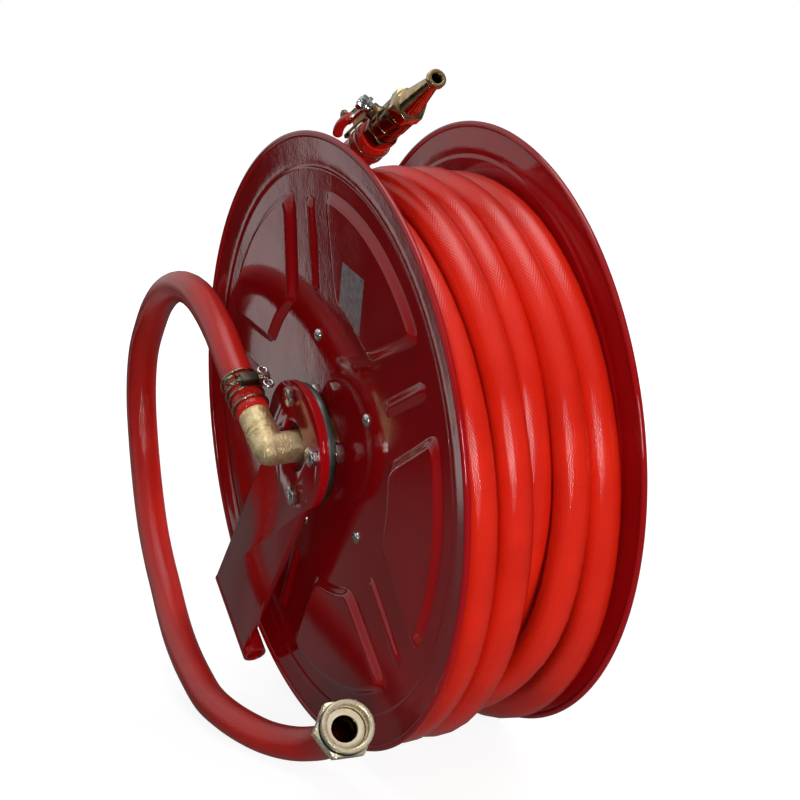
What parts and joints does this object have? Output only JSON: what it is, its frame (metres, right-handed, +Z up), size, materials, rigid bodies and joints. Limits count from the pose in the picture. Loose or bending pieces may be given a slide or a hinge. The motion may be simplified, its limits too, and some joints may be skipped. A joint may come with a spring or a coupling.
{
  "type": "fire hose reel",
  "caption": "Swing-arm fire hose reel: pressed discs on a drum, hollow axle with rotary joint, wound hose with ball-valve nozzle, and a lead-in hose with a swivel coupling.",
  "frame": {"origin": "middle of the hinge tube's bore, on which the arm hangs in its cabinet", "axes": "+X along the reel's axle, away from the arm and the water inlet; +Y to the back; +Z up. The hinge bore lies in the YZ plane."},
  "size_m": [0.2353, 0.5293, 0.5121],
  "materials": {
    "disc_enamel": "deep glossy red enamel",
    "arm_enamel": "glossy red enamel",
    "zinc_screws": "bright zinc-plated steel",
    "plain_steel": "turned steel",
    "zinc_flange": "grey-green zinc plate",
    "clamp_steel": "yellow-green zinc-plated wire",
    "clamp_block": "darkened steel",
    "cast_brass": "rough sand-cast brass",
    "turned_brass": "turned brass, polished",
    "pale_brass": "turned pale brass",
    "bronze_bush": "turned bronze",
    "hose_red": "satin red, finely dimpled",
    "lead_hose_red": "satin red",
    "grip_red": "soft red sleeve",
    "seal_rubber": "black seal rubber",
    "seat_plastic": "white low-friction plastic",
    "ball_chrome": "polished"
  },
  "bodies": {
    "frame": {"arm_plate": "arm_enamel", "hinge_tube": "arm_enamel", "back_plate": "arm_enamel", "bearing_flange": "zinc_flange", "axle": "plain_steel", "hub_bolts": "zinc_screws", "spring_washers": "zinc_screws", "hub_nuts": "zinc_screws", "axle_washer": "zinc_screws", "axle_nut": "zinc_screws", "inlet_elbow": "cast_brass", "elbow_clamp": "clamp_steel", "elbow_clamp_block": "clamp_block", "elbow_clamp_screw": "clamp_steel", "wing_nut": "zinc_screws", "lead_hose": "lead_hose_red", "coupling_tail": "pale_brass", "coupling_washer": "seal_rubber"},
    "coupling": {"coupling_nut": "pale_brass", "coupling_ring": "seal_rubber"},
    "reel": {"near_disc": "disc_enamel", "far_disc": "disc_enamel", "near_disc_screws": "zinc_screws", "far_disc_screws": "zinc_screws", "weld_nuts": "zinc_screws", "drum_shell": "disc_enamel", "near_hub_plate": "disc_enamel", "far_hub_plate": "disc_enamel", "near_bush": "bronze_bush", "far_bush": "bronze_bush", "swivel_housing": "turned_brass", "o_rings": "seal_rubber", "outlet_elbow": "cast_brass", "outlet_clamp": "clamp_steel", "inner_hose": "hose_red", "wound_hose": "hose_red", "nozzle_hose": "hose_red", "nozzle_clamp": "clamp_steel", "nozzle_clamp_block": "turned_brass", "nozzle_clamp_screw": "turned_brass", "nozzle_tail": "turned_brass", "valve_body": "turned_brass", "valve_seats": "seat_plastic", "jet_nozzle": "turned_brass"},
    "lever": {"valve_ball": "ball_chrome", "valve_stem": "plain_steel", "valve_lever": "zinc_screws", "lever_sleeve": "grip_red", "lever_nut": "zinc_screws"}
  },
  "joints": [
    {"name": "reel_spin", "type": "hinge", "parent": "frame", "child": "reel", "pos_m": [0.0809, -0.1386, 0.17993], "axis": [1, 0, 0], "continuous": true},
    {"name": "valve_turn", "type": "hinge", "parent": "reel", "child": "lever", "pos_m": [0.0509, -0.17497, 0.41727], "axis": [0.6947, -0.331, -0.6386], "range_deg": [0, 90]},
    {"name": "coupling_spin", "type": "hinge", "parent": "frame", "child": "coupling", "pos_m": [-0.0301, -0.2766, 0.01593], "axis": [-0.1167, -0.8305, 0.5446], "continuous": true}
  ]
}
